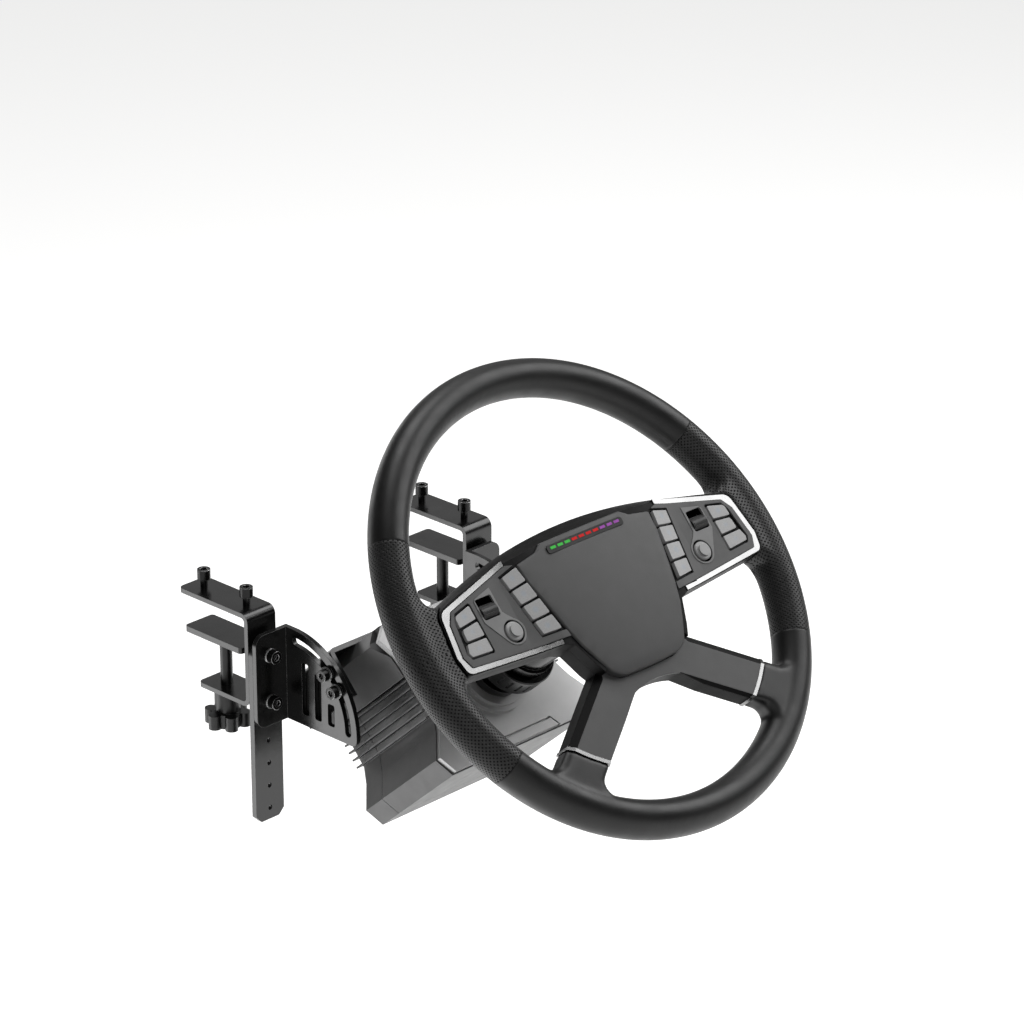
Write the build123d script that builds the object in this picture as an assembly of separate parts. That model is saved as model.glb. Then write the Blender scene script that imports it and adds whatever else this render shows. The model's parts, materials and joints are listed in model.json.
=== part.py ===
from build123d import *
from math import atan, cos, degrees, radians, sin, sqrt
import os

# Desk-mounted racing wheel, in millimetres.
# World frame: +X to the driver's right, +Y away from the driver over the desk, +Z up.
# The origin is midway between the two desk clamps, on the line where their top plates
# and their front webs meet the desk's top front edge.
# Wheel frame: origin at the rim's centre, X as in the world, Y up across the wheel's face,
# Z along the wheel's axis toward the driver.  The base is drawn in the wheel frame too.

os.makedirs("parts", exist_ok=True)

SIDES = (-1, 1)
GAP = 0.35  # clearance round a part that moves against its neighbour
SEAT = 0.1  # clearance between parts that are assembled together

# Where the wheel sits
AXIS_RISE = 42.0  # degrees the wheel's axis climbs toward the driver
WHEEL_CENTRE = (0, -250, 55)

# Rim
RIM_RADIUS = 184.7  # to the middle of the tube
TUBE_RADIAL = 15.3  # half the tube's width across the rim
TUBE_AXIAL = 17.0  # half the tube's depth along the axis
CORE_TUBE = 6.0
PERFORATED_HALF_ANGLE = 30.0  # the side grips run this far above and below horizontal
ARM_LOW, ARM_HIGH = -1.0, 5.0
ARM_WIDTH = 15.0
WEB_RING, WEB_CORNER = 172.0, 11.0  # where leather webs meet the tube, and their inside corners
WEB_SLOPE = 5.0  # the webs' edges are bevelled this much, front and back
TRIM_RADIUS = 148.0  # silver strips where the lower spokes meet the leather
TRIM_WIDTH = 3.0

# Hub shells
HUB_BACK = -3.0
HUB_SPLIT = 10.0  # seam between rear tub and front bezel
CENTRE_TOP, WING_TOP = 19.4, 15.7  # front bezel's height at the pad and out on the wings
SLOPE_START, SLOPE_END = 66.0, 96.0  # the face falls from one to the other between these
PANEL_THICK = 1.6
PAD_CROWN, PAD_CROWN_RADIUS, PAD_SEAT = 24.0, 800.0, 13.0
PAD_CORNER, PAD_EDGE = 2.0, 1.5  # rounding of the pad's plan and of its top edge
LIGHT_X = [-35.1 + 7.8 * n for n in range(10)]
WING_TIP_RADIUS, WING_HEEL_RADIUS = 9.0, 6.0
TRIM_LIFT = 0.8  # bright band above the wing panel
TRIM_FALL, TRIM_LEAN = 1.5, 56.0  # height and slope of the bevel along the band's outer side
SPOKE_FACE_LOW, SPOKE_FACE_HIGH = 11.5, 14.0

# Lower spokes
SPOKE_ANGLE = -35.2
SPOKE_START = (30.0, -68.9)
SPOKE_HALF_FACE = 14.3
SPOKE_LENGTH = 112.0  # from SPOKE_START to inside the rim tube
NOTCH_START, NOTCH_FLARE, NOTCH_Y = 5.0, 30.0, -79.6  # lower edge of the hub between the spokes

# Controls on each wing, right-hand side
BUTTON_TRAVEL = 1.5
BUTTON_BORDER, BUTTON_CORNER = 0.4, 1.0  # shadow gap round each button, and its rounded corners
STEM_END = 9.4  # how far a button's stem reaches down
BOARD_LOW, BOARD_HIGH = 6.0, 7.6
KNOB_POS = (105.4, -4.2)
ROLLER_POS = (117.2, 17.8)
ROLLER_RADIUS, ROLLER_WIDTH, ROLLER_HEIGHT = 5.6, 15.6, 13.7

# Quick release and shaft, stations along the axis
SHAFT_RADIUS = 10.0
ADAPTER_FRONT, ADAPTER_BACK = -36.0, -103.0
COLLAR_FRONT, COLLAR_BACK = -105.0, -124.0
COLLAR_TRAVEL = 6.0
BARREL_RADIUS = 17.0

# Base
BASE_FRONT, BASE_PLATE_BACK, BASE_COVER_SEAM, BASE_BACK = -154.0, -159.0, -241.0, -266.0
BASE_TOP, BASE_BOTTOM = 69.0, -62.5
FIN_COUNT, FIN_PITCH, FIN_THICK = 6, 6.6, 1.4
FIN_FIRST, FIN_ROOT, FIN_TIP = -12.2, 68.0, 75.0
SEAM = 0.25  # each shell stands back this much from the joint between housing and rear cover
BASE_SCREWS = [(x, z) for x in (-45, 45) for z in (-205, -232)]
SINK_HEAD, SINK_DEPTH = 5.6, 2.8  # countersunk heads on the cradle
FLAP_GROOVE, FLAP_DEPTH = 1.6, 3.0
POWER_BORE = 2.9
MOTOR_BORE = 58.2
BEARING_RADIUS = 21.0

# Cradle that carries the base, and the arc it tilts on
CRADLE_FRONT, CRADLE_BACK = -193.5, -262.0
CRADLE_OUTER, CRADLE_THICK = 100.6, 4.0
TILT_BOLTS = ((-202.0, 57.0), (-202.0, 41.4))  # along the axis, up the wheel
ARC_CENTRE = (-20.75, -84.7)  # world Y, Z
ARC_RADIUS, SLOT_HALF = 62.4, 3.4
ARC_FROM, ARC_TO = 1.6, 86.8  # degrees above horizontal, toward the driver

# Desk clamps and the brackets bolted to them
CLAMP_X, CLAMP_WIDTH, PLATE, BEND = 122.4, 30.0, 4.0, 3.5
TOP_REACH, JAW_REACH, JAW_TOP = 77.5, 57.0, -72.4
SPINDLE_Y, SPINDLE_RADIUS = 39.0, 5.0
TOP_SCREW_Y = (13.0, 63.0)
BAR_THICK, BAR_TOP, BAR_BOTTOM = 5.0, -19.5, -178.0
BAR_HOLES_Z = (-108, -128, -148, -168)
FLANGE_BOLTS_Z = (-32.0, -72.0)
FAN_OUTER, FAN_RADIUS = 105.0, 72.0
FAN_TOP, FAN_BOTTOM = -12.7, -92.9
FAN_SLOTS = ((34.6, -38.4), (49.1, -43.5), (64.0, -64.4))  # distance forward, top of slot
FAN_SLOT_BOTTOM = -83.4
PRESSURE_TOP = -27.4
KNOB_TOP, KNOB_BOTTOM, KNOB_LOBES = -96.6, -108.6, 6

BASE_UP = (Align.CENTER, Align.CENTER, Align.MIN)
BACK_BAR = -(PLATE + BAR_THICK)  # world Y of the bar's front face


def turned(axis_rise):
    rise = radians(axis_rise)
    return Plane(origin=WHEEL_CENTRE, x_dir=(1, 0, 0), z_dir=(0, -cos(rise), sin(rise)))


wheel_frame = turned(AXIS_RISE)


# ---------- small shape helpers ----------

def rod(radius, low, high, x=0, y=0):
    return Pos(x, y, low) * Cylinder(radius, high - low, align=BASE_UP)


def block(x0, x1, y0, y1, z0, z1):
    centre = Pos((x0 + x1) / 2, (y0 + y1) / 2, (z0 + z1) / 2)
    return centre * Box(abs(x1 - x0), abs(y1 - y0), abs(z1 - z0))


def raise_face(face, low, high):
    return extrude(Pos(0, 0, low) * face, high - low, dir=(0, 0, 1))


def outline(*points):
    return make_face(Polyline(*points, close=True))


def prism(points, low, high):
    return raise_face(outline(*points), low, high)


def rounded(points, radius):
    face = outline(*points)
    return fillet(face.vertices(), radius)


def mirrored(shape):
    return mirror(shape, about=Plane.YZ)


def both(shape):
    return Compound([shape, mirrored(shape)])


def across(shape):
    """Turn a solid drawn standing on XY so that its height runs along world +Y."""
    return Rot(-90, 0, 0) * shape


def sideways(shape):
    """Turn a solid drawn standing on XY so that its height runs along world +X."""
    return Rot(0, 90, 0) * shape


def hex_recess(across_flats, low, high):
    return raise_face(RegularPolygon(across_flats / sqrt(3), 6), low, high)


def socket_screw(shank, length, head, head_height, key, flange=0.0, flange_height=0.0):
    """Screw standing up: shank below z=0, then a flange if any, then the head."""
    screw = rod(shank, -length, 0.01) + rod(head, flange_height, flange_height + head_height)
    if flange_height > 0:
        screw += rod(flange, 0, flange_height)
    top = flange_height + head_height
    return screw - hex_recess(key, top - 3.0, top + 1)


# ---------- rim ----------

def tube_solid(radial, axial, start=0, sweep=360):
    section = Pos(RIM_RADIUS, 0, 0) * (Plane.XZ * Ellipse(radial, axial))
    return Rot(0, 0, start) * revolve(section, Axis.Z, sweep)


def core_solid(radius):
    return Torus(RIM_RADIUS, radius)


def spoke_plane():
    along = radians(SPOKE_ANGLE)
    return Plane(origin=(*SPOKE_START, 0), x_dir=(cos(along), sin(along), 0), z_dir=(0, 0, 1))


def spoke_point(distance, across):
    """A point of the right lower spoke in the wheel's plane."""
    along = radians(SPOKE_ANGLE)
    x = SPOKE_START[0] + cos(along) * distance - sin(along) * across
    return (x, SPOKE_START[1] + sin(along) * distance + cos(along) * across)


def spoke_bar(profile, length):
    """Bar along the right lower spoke; profile points are (across, height)."""
    section = Plane.YZ * outline(*profile)
    return spoke_plane() * extrude(section, length, dir=(1, 0, 0))


def arms(slack):
    half = ARM_WIDTH / 2 + slack
    low, high = ARM_LOW - slack, ARM_HIGH + slack
    lateral = block(30, RIM_RADIUS, 4 - half, 4 + half, low, high)
    lower = spoke_bar(((-half, low), (half, low), (half, high), (-half, high)), SPOKE_LENGTH)
    return both(lateral) + both(lower)


def hub_plate(slack):
    points = ((-40, 34), (40, 34), (44, -40), (46, -66), (30, -78), (-30, -78), (-46, -66), (-44, -40))
    return prism(points, ARM_LOW - slack, ARM_HIGH + slack)


def rim_core():
    return core_solid(CORE_TUBE) + arms(0) + hub_plate(0)


def spoke_profile(grow=0.0):
    side, low = SPOKE_HALF_FACE + 6 + grow, HUB_BACK - grow
    inner, top = -(SPOKE_HALF_FACE + 2 + grow), SPOKE_FACE_LOW
    return (
        (inner, low), (side, low), (side, top - 0.8), (SPOKE_HALF_FACE + 0.3 + grow, top + 2.2 + grow),
        (-SPOKE_HALF_FACE - grow, top + 2.2 + grow), (inner, top - 1),
    )


def corner_web(root, reach, is_corner, low, high):
    """Leather drawn from a root onto the tube, with rounded corners and bevelled edges."""
    ring = Circle(RIM_RADIUS) - Circle(WEB_RING)
    face = ring + root
    corners = [v for v in face.vertices() if is_corner(v) and abs(v.center().length - WEB_RING) < 0.05]
    face = fillet(corners, WEB_CORNER) & reach
    web = raise_face(face, low + WEB_SLOPE, high - WEB_SLOPE)
    web += extrude(Pos(0, 0, high - WEB_SLOPE) * face, WEB_SLOPE, dir=(0, 0, 1), taper=45)
    web += extrude(Pos(0, 0, low + WEB_SLOPE) * face, WEB_SLOPE, dir=(0, 0, -1), taper=45)
    return web


def leather_stub():
    """Leather-covered root of a lower spoke, from its silver strip out to the rim."""
    strip = rod(TRIM_RADIUS + TRIM_WIDTH / 2 + SEAT, -30, 30)
    bar = spoke_bar(spoke_profile(0.3), SPOKE_LENGTH)
    root = spoke_plane() * (Pos(86, 2) * Rectangle(52, 37.2))
    reach = spoke_plane() * (Pos(86, 2) * Rectangle(90, 72))
    web = corner_web(root, reach, lambda v: v.X > 0 and v.Y < -60, -8.0, 14.0)
    return bar + web - strip


def side_web():
    """Leather that flares from the rim onto the end of a wing."""
    root = Pos(163, 6.75) * Rectangle(26, 59.5)
    reach = Pos(166, 5) * Rectangle(52, 108)
    web = corner_web(root, reach, lambda v: v.X > 0 and abs(v.Y) > 20, -13.0, 15.5)
    under = raise_face(hub_outline(61, 39.4, -SEAT), -30, HUB_BACK)
    return web - hub_block(SEAT) - under


def grip_hollow():
    return core_solid(CORE_TUBE + SEAT) + arms(SEAT)


def rim_grip(start, sweep):
    return tube_solid(TUBE_RADIAL, TUBE_AXIAL, start, sweep)


def rim_grip_smooth_bottom():
    gap = 0.05
    ring = rim_grip(180 + PERFORATED_HALF_ANGLE + gap, 180 - 2 * (PERFORATED_HALF_ANGLE + gap))
    return ring + both(leather_stub()) - grip_hollow()


def rim_grip_smooth_top():
    return rim_grip(PERFORATED_HALF_ANGLE, 180 - 2 * PERFORATED_HALF_ANGLE) - grip_hollow()


def rim_grips_perforated():
    right = rim_grip(-PERFORATED_HALF_ANGLE + 0.05, 2 * PERFORATED_HALF_ANGLE - 0.1) + side_web()
    return both(right - grip_hollow())


# ---------- hub shells ----------

def hub_outline(crown, shoulder, inset):
    """Plan of wings and centre: crown is the top at the middle, shoulder out at x = 143."""
    tip, heel = (162.3 - inset, shoulder - 5.2), (164.8 - inset, -22.6 + inset)
    right = (
        (143, shoulder), tip, (167.8 - inset, -6), heel, (69, -29.5 + inset), (60, -33 + inset),
        (52 - inset, -52), (44 - inset, -66), (26, -78.5 + inset),
    )
    left = tuple((-x, y) for x, y in reversed(right))
    edges = Polyline(*right, *left) + ThreePointArc((-143, shoulder), (0, crown), (143, shoulder))
    return round_wing(make_face(edges), tip, heel)


def round_wing(face, tip, heel):
    """Round the outer corners of both wings."""
    for corner, radius in ((tip, WING_TIP_RADIUS), (heel, WING_HEEL_RADIUS)):
        near = [v for v in face.vertices() if abs(abs(v.X) - corner[0]) + abs(v.Y - corner[1]) < 0.01]
        face = fillet(near, radius)
    return face


def below_face(lift, low=-40.0, ridge=0.0):
    """Everything under the hub's folded front face raised by lift, and by ridge more beside the pad."""
    centre, wing = CENTRE_TOP + lift + ridge, WING_TOP + lift
    section = (
        (-180, low), (180, low), (180, wing), (SLOPE_END, wing), (SLOPE_START, centre),
        (-SLOPE_START, centre), (-SLOPE_END, wing), (-180, wing),
    )
    return extrude(Pos(0, 70, 0) * (Plane.XZ * outline(*section)), 220, dir=(0, -1, 0))


def hub_block(grow=0.0):
    """Wings and centre before the face is folded; the sides lean in toward the front."""
    wide = hub_outline(61 + grow, 39.4 + grow, -grow)
    narrow = hub_outline(50.1 + grow, 34.6 + grow, 1.0 - grow)
    upright = raise_face(wide, HUB_BACK - grow, 3)
    return upright + loft([Pos(0, 0, 3) * wide, Pos(0, 0, 21) * narrow], ruled=True)


def notch():
    """Open space between the lower spokes, up to the hub's lower edge."""
    half = SPOKE_HALF_FACE
    right = (
        spoke_point(NOTCH_START, -half), spoke_point(NOTCH_FLARE, -half - 2.1),
        spoke_point(SPOKE_LENGTH, -half - 2.1), (60, -230),
    )
    left = tuple((-x, y) for x, y in reversed(right))
    corner = right[0]
    edges = Polyline(*right, *left) + ThreePointArc((-corner[0], corner[1]), (0, NOTCH_Y), corner)
    return raise_face(make_face(edges), -40, 40)


def hub_envelope():
    body = hub_block() & below_face(0)
    body += raise_face(spoke_face_outline(), HUB_BACK, SPOKE_FACE_LOW) & rod(TRIM_RADIUS - 20, -30, 30)
    bars = both(spoke_bar(spoke_profile(), SPOKE_LENGTH) & rod(TRIM_RADIUS - TRIM_WIDTH / 2 - SEAT, -30, 30))
    return body + bars - notch() - tube_solid(TUBE_RADIAL + SEAT, TUBE_AXIAL + SEAT)


def pad_outline(grow=0.0):
    right = (
        (43.8 + grow, 49.8 + grow), (52 + grow, 44.6 + grow), (73.6 + grow, 41.2 + grow), (72 + grow, 24.5),
        (60.5 + grow, -20), (55.5 + grow, -35), (48.4 + grow, -49), (42 + grow, -60.5),
    )
    left = tuple((-x, y) for x, y in reversed(right))
    low = -69.6 - grow
    corner = (34.5 + grow, low + 3.0)
    edges = Polyline(*left, *right)
    edges += ThreePointArc(right[-1], corner, (22, low + 0.6))
    edges += ThreePointArc((22, low + 0.6), (0, low), (-22, low + 0.6))
    edges += ThreePointArc((-22, low + 0.6), (-corner[0], corner[1]), left[0])
    return make_face(edges)


def spoke_face_outline():
    half, reach = SPOKE_HALF_FACE, 118.0
    corner = spoke_point(NOTCH_START, -half)
    right = ((40, -50), spoke_point(12, half), spoke_point(reach, half), spoke_point(reach, -half), corner)
    left = tuple((-x, y) for x, y in reversed(right))
    edges = Polyline(*left, *right) + ThreePointArc(corner, (0, NOTCH_Y), (-corner[0], corner[1]))
    return make_face(edges)


def spoke_face():
    plate = raise_face(spoke_face_outline(), SPOKE_FACE_LOW + SEAT, SPOKE_FACE_HIGH)
    plate = plate & rod(TRIM_RADIUS - TRIM_WIDTH / 2 - SEAT, 0, 30)
    return plate - raise_face(pad_outline(0.3), PAD_SEAT - 5, 30)


def silver_trims():
    ring = rod(TRIM_RADIUS + TRIM_WIDTH / 2, -30, 30) - rod(TRIM_RADIUS - TRIM_WIDTH / 2, -30, 30)
    strip = spoke_bar(spoke_profile(0.6), SPOKE_LENGTH) & ring
    return both(strip - arms(SEAT))


def hub_rear_shell():
    shell = hub_envelope() & block(-200, 200, -150, 80, -40, HUB_SPLIT)
    cavity = raise_face(offset(hub_outline(61, 39.4, 0), -4), ARM_LOW - SEAT, HUB_SPLIT + 1)
    cavity = cavity & below_face(0)
    cavity -= block(-200, 200, 50, 80, -40, 40)
    low = ARM_LOW - SEAT
    channels = both(spoke_bar(((-10, low), (10, low), (10, 8), (-10, 8)), SPOKE_LENGTH))
    boss = Pos(0, 0, -34) * Cone(24, 30, 31, align=BASE_UP)
    return shell + boss - cavity - channels - arms(SEAT) - hub_plate(SEAT)


def hub_front_shell():
    shell = hub_envelope() & block(-200, 200, -150, 80, HUB_SPLIT + SEAT, 40)
    shell -= raise_face(pad_outline(SEAT), PAD_SEAT - SEAT, 40)
    shell -= raise_face(spoke_face_outline(), SPOKE_FACE_LOW, 40)
    wells = raise_face(control_wells(), HUB_SPLIT - 2, 40)
    seats = raise_face(chrome_outline(SEAT), 12.0 - SEAT, 40)
    return shell - both(wells) - both(seats)


def centre_pad():
    plan = pad_outline()
    body = raise_face(fillet(plan.vertices(), PAD_CORNER), PAD_SEAT, 40)
    dome = Pos(0, 5, PAD_CROWN - PAD_CROWN_RADIUS) * (Rot(90, 0, 0) * Sphere(PAD_CROWN_RADIUS))
    body = body & dome
    body = fillet(body.faces().sort_by(Axis.Z)[-1].edges(), PAD_EDGE)
    lens = raise_face(RectangleRounded(83.6, 6.8, 2.5), PAD_CROWN - 3.2, 40)
    return body - Pos(0, 41.8, 0) * lens


def light_bar_lens():
    lens = raise_face(RectangleRounded(83.2, 6.4, 2.3), PAD_CROWN - 3.1, 23.0)
    lens = Pos(0, 41.8, 0) * lens
    for x in LIGHT_X:
        lens -= Pos(x, 42.6, 0) * raise_face(Rectangle(5.7, 2.3), 21.5, 30)
    return lens


def light_segments():
    segment = raise_face(Rectangle(5.5, 2.1), 21.6, 23.2)
    return Compound([Pos(x, 42.6, 0) * segment for x in LIGHT_X])


# ---------- wing panels and controls ----------

def chrome_plan(grow=0.0):
    """Outer edge of the bright band, carried on inward past its ends."""
    tip, heel = (160.2 + grow, 29.8 + grow), (163 + grow, -21.2 - grow)
    plan = outline((50, 57.4 + grow), tip, (166.2 + grow, -6), heel, (50, -29.5 - grow))
    return round_wing(plan, tip, heel)


def chrome_outline(grow=0.0):
    ends = outline((84.2, 60), (180, 60), (180, -40), (69.2, -40), (69.2, -24.6 + grow), (84.2, -24))
    inner = rounded(
        ((60, 50.8), (84.2, 44.8 - grow), (151 - grow, 28 - grow), (157.5 - grow, 19), (161.8 - grow, -8),
         (157.6 - grow, -17.6 + grow), (69.2, -24.5 + grow), (55, -25.5)), 3.0)
    return (chrome_plan(grow) & ends) - inner


def bevelled_cap():
    """Top layer of the bright band with its outer side bevelled, folded where the hub's face is."""
    cap = extrude(chrome_plan(), TRIM_FALL, dir=(0, 0, 1), taper=TRIM_LEAN)
    fold = degrees(atan((CENTRE_TOP - WING_TOP) / (SLOPE_END - SLOPE_START)))
    base = WING_TOP + PANEL_THICK + TRIM_LIFT - TRIM_FALL
    flat = (Pos(0, 0, base) * cap) & block(SLOPE_END, 180, -60, 80, 0, 40)
    tilted = Pos(SLOPE_END, 0, base) * (Rot(0, fold, 0) * (Pos(-SLOPE_END, 0, 0) * cap))
    return flat + (tilted & block(0, SLOPE_END, -60, 80, 0, 40))


def chrome_trims():
    """Bright band round each wing."""
    band = raise_face(chrome_outline(), 12.0, 30)
    low = band & below_face(PANEL_THICK + TRIM_LIFT - TRIM_FALL)
    return both(low + (band & bevelled_cap()))


def panel_outline():
    return outline(
        (74.2, 41.4), (84.0, 44.3), (150.6, 27.5), (157.0, 18.7), (161.3, -8.0),
        (157.2, -17.3), (69.0, -24.1), (60.4, -24.6), (61.2, -20.0), (72.7, 24.5),
    )


def inner_edge_x(y):
    return 65.6 + (y + 17) * 0.182


def outer_edge_x(y):
    return 82.9 + (y + 16) * 0.172


def column_button(inner_high, inner_low, outer_high, outer_low):
    return outline(
        (inner_edge_x(inner_high), inner_high), (outer_edge_x(outer_high), outer_high),
        (outer_edge_x(outer_low), outer_low), (inner_edge_x(inner_low), inner_low),
    )


def button_faces():
    """Plans of the seven buttons on the right wing, by name."""
    faces = {
        "inner_1": column_button(40.3, 27.2, 36.8, 25.4),
        "inner_2": column_button(26.0, 12.7, 24.2, 11.7),
        "inner_3": column_button(11.4, -2.3, 10.4, -2.5),
        "inner_4": column_button(-3.7, -17.0, -3.9, -15.6),
    }
    top = Polyline((147.5, 24.0), (132.4, 27.6), (132.4, 15.5), (151.0, 13.5), (150.6, 19.5))
    faces["outer_1"] = make_face(top + ThreePointArc((150.6, 19.5), (149.8, 22.3), (147.5, 24.0)))
    faces["outer_2"] = outline((132.4, 14.0), (148.8, 12.2), (150.0, 9.5), (150.6, 3.2), (149.6, 1.9), (132.4, 1.6))
    faces["outer_3"] = outline((132.4, 0.1), (152.2, 0.5), (154.9, -6.8), (153.2, -10.2), (132.4, -11.6))
    return faces


def insert_outline(grow=0.0):
    """Tear-drop plate round the roller and the knob."""
    drop = outline(
        (107.0 - grow, 34.0 + grow), (124.6, 29.9 + grow), (126.6 + grow, 27.6), (127.0 + grow, 10.0),
        (115.3 + grow, -9.0), (100.0, -4.2), (99.4 - grow, 4.8), (103.6 - grow, 9.0), (106.8 - grow, 13.0),
    )
    return drop + Pos(*KNOB_POS) * Circle(10.9 + grow)


def roller_slot():
    return Pos(ROLLER_POS[0], 20.2) * RectangleRounded(16.6, 17.4, 1.5)


def control_wells():
    """Openings in the front bezel for every moving control of the right wing."""
    wells = roller_slot() + Pos(*KNOB_POS) * Circle(9.4)
    for face in button_faces().values():
        wells += offset(face, GAP, kind=Kind.INTERSECTION)
    return wells


def column_window():
    return outline((70, 43.9), (94, 38.2), (84.9, -17.1), (56, -19.3))


def side_window():
    return rounded(((130.9, 29.4), (148.6, 25.6), (152.4, 19.4), (156.7, -7.0), (154.2, -11.8), (130.9, -13.2)), 2.0)


def wing_panel():
    face = panel_outline() - column_window() - side_window() - insert_outline(SEAT)
    slab = raise_face(face, 10, 30)
    return slab & below_face(PANEL_THICK) - below_face(SEAT)


def control_insert():
    face = insert_outline() - roller_slot() - Pos(*KNOB_POS) * Circle(9.4)
    slab = raise_face(face, 10, 30)
    return slab & below_face(PANEL_THICK + 0.4) - below_face(SEAT)


def button(name):
    sunk = offset(button_faces()[name], -BUTTON_CORNER - BUTTON_BORDER, kind=Kind.INTERSECTION)
    cap = raise_face(offset(sunk, BUTTON_CORNER, kind=Kind.ARC), STEM_END, 40)
    if name.startswith("inner"):
        return cap & below_face(PANEL_THICK + 0.4, low=0, ridge=1.0)
    return cap & below_face(PANEL_THICK + 0.3, low=0)


def roller():
    wheel = sideways(rod(ROLLER_RADIUS, -ROLLER_WIDTH / 2, ROLLER_WIDTH / 2))
    ribs = Compound()
    for n in range(12):
        rib = Rot(30 * n, 0, 0) * (Pos(0, 0, ROLLER_RADIUS) * Box(ROLLER_WIDTH - 2, 0.9, 0.7))
        wheel += rib
    return Pos(*ROLLER_POS, ROLLER_HEIGHT) * wheel


def knob():
    spindle = rod(3.0, BOARD_HIGH + 0.6, 12.1)
    skirt = rod(7.7, 12.0, 18.9)
    skirt = chamfer(skirt.edges().group_by(Axis.Z)[-1], 0.8)
    cap = rod(5.0, 18.8, 20.8)
    return Pos(*KNOB_POS, 0) * (spindle + skirt + cap)


def button_board():
    right = block(52, 158, -16, 14, BOARD_LOW, BOARD_HIGH)
    middle = block(-52, 52, -20, 20, BOARD_LOW, BOARD_HIGH)
    return right + mirrored(right) + middle


# ---------- quick release ----------

def wheel_adapter():
    body = rod(22.5, ADAPTER_BACK, ADAPTER_FRONT) + rod(25, ADAPTER_FRONT - 8, ADAPTER_FRONT)
    body += rod(25.5, ADAPTER_BACK, ADAPTER_BACK + 7)
    return body - rod(BARREL_RADIUS + SEAT, ADAPTER_BACK - 1, -78)


def release_barrel():
    flange = rod(24.5, -145.4, -138)
    barrel = rod(BARREL_RADIUS, -138.1, -78.5)
    return flange + barrel - rod(SHAFT_RADIUS, -146, -128)


def release_collar():
    ring = rod(31, COLLAR_BACK, COLLAR_FRONT) - rod(BARREL_RADIUS + GAP, COLLAR_BACK - 1, COLLAR_FRONT + 1)
    for n in range(24):
        ring -= Rot(0, 0, 15 * n) * rod(1.3, COLLAR_BACK + 4, COLLAR_FRONT - 4, x=31.4)
    return chamfer(ring.edges().group_by(Axis.Z)[-1], 1.0)


def motor_rotor():
    shaft = rod(SHAFT_RADIUS, -256, -128.1)
    drum = rod(33.4, -232, -178)
    return shaft + drum


# ---------- base ----------

def base_profile(inset=0.0):
    right = (
        (73 - inset, BASE_TOP - inset), (84.5 - inset, 57.5), (77.0 - inset, 42), (75.0 - inset, 24),
        (FIN_ROOT - inset, 24), (FIN_ROOT - inset, -14), (74 - inset, -27), (87 - inset, -46.5),
        (79 - inset, BASE_BOTTOM + inset),
    )
    left = tuple((-x, y) for x, y in reversed(right))
    return outline(*right, *left)


def fin_set(back, front):
    group = None
    for n in range(FIN_COUNT):
        y = FIN_FIRST + n * FIN_PITCH
        fin = block(FIN_ROOT - 1, FIN_TIP, y - FIN_THICK / 2, y + FIN_THICK / 2, back, front)
        group = fin if group is None else group + fin
    return group + mirrored(group)


def base_housing():
    back, front = BASE_COVER_SEAM + SEAM, BASE_PLATE_BACK - SEAT
    body = raise_face(base_profile(), back, front) + fin_set(back, front)
    bevel = outline((43, front + 0.1), (70, front + 0.1), (70, front - 9), (60, front - 9))
    body -= both(Pos(72, 0, 0) * extrude(Plane.YZ * bevel, 20))
    body -= rod(MOTOR_BORE, back - 1, -174)
    body -= rod(BEARING_RADIUS + SEAT, -175, -161)
    body -= rod(12, -162, -158)
    for x, z in BASE_SCREWS:
        body -= Pos(x, BASE_TOP - 9, z) * (Rot(-90, 0, 0) * rod(3.0 + SEAT, -0.5, 12))
    return body


def base_front_plate():
    plate = raise_face(base_profile(1.2), BASE_PLATE_BACK, BASE_FRONT)
    plate += rod(35, BASE_FRONT - 0.1, -149.5) + rod(31, -149.6, -146)
    groove = raise_face(offset(flap_outline(), FLAP_GROOVE), BASE_FRONT - FLAP_DEPTH, BASE_FRONT + 1)
    return plate - rod(12, -165, -140) - groove


def flap_outline():
    return outline((-38, -60.5), (38, -60.5), (33, -53), (30, -53.5), (-30, -53.5), (-33, -53))


def base_flap():
    """Small cover let into the lower edge of the front plate."""
    return raise_face(flap_outline(), BASE_FRONT - FLAP_DEPTH + SEAT, BASE_FRONT + 0.3)


def base_rear_cover():
    front = BASE_COVER_SEAM - SEAM
    body = raise_face(base_profile(), BASE_BACK, front) + fin_set(BASE_BACK, front)
    body -= rod(BEARING_RADIUS + SEAT, -252.1, front + 1)
    body -= rod(12, -258, front + 1)
    body -= block(-62, 62, -56, -26, -262, front + 1)
    for socket in socket_spots():
        body -= Pos(socket[0], socket[1], 0) * raise_face(offset(socket[2], SEAT), -270, -261)
    return body


def socket_spots():
    """Across, up and plan of each socket on the back of the base."""
    data = RectangleRounded(12, 11, 0.8)
    return (
        (-44, -40, Circle(6.5)), (-22, -40, RectangleRounded(9.4, 3.8, 1.5)),
        (0, -40, data), (18, -40, data), (36, -40, data),
    )


def base_sockets():
    solids = []
    for x, y, face in socket_spots():
        body = Pos(x, y, 0) * raise_face(face, BASE_BACK - 0.5, -261.9)
        hole = Circle(POWER_BORE) if x < -40 else offset(face, -1.0)
        solids.append(body - Pos(x, y, 0) * raise_face(hole, BASE_BACK - 1, -263))
    return Compound(solids)


def control_board():
    return block(-60, 60, -55, -27, -261.8, -260.2)


def motor_stator():
    ring = rod(MOTOR_BORE - SEAT, -238, -176) - rod(34.0, -239, -175)
    for n in range(12):
        ring -= Rot(0, 0, 30 * n) * block(38, 52, -2.2, 2.2, -240, -174)
    return ring


def shaft_bearings():
    ring = rod(BEARING_RADIUS, 0, 10) - rod(SHAFT_RADIUS + 0.05, -1, 11)
    return Compound([Pos(0, 0, -172) * ring, Pos(0, 0, -251.9) * ring])


# ---------- cradle ----------

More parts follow.
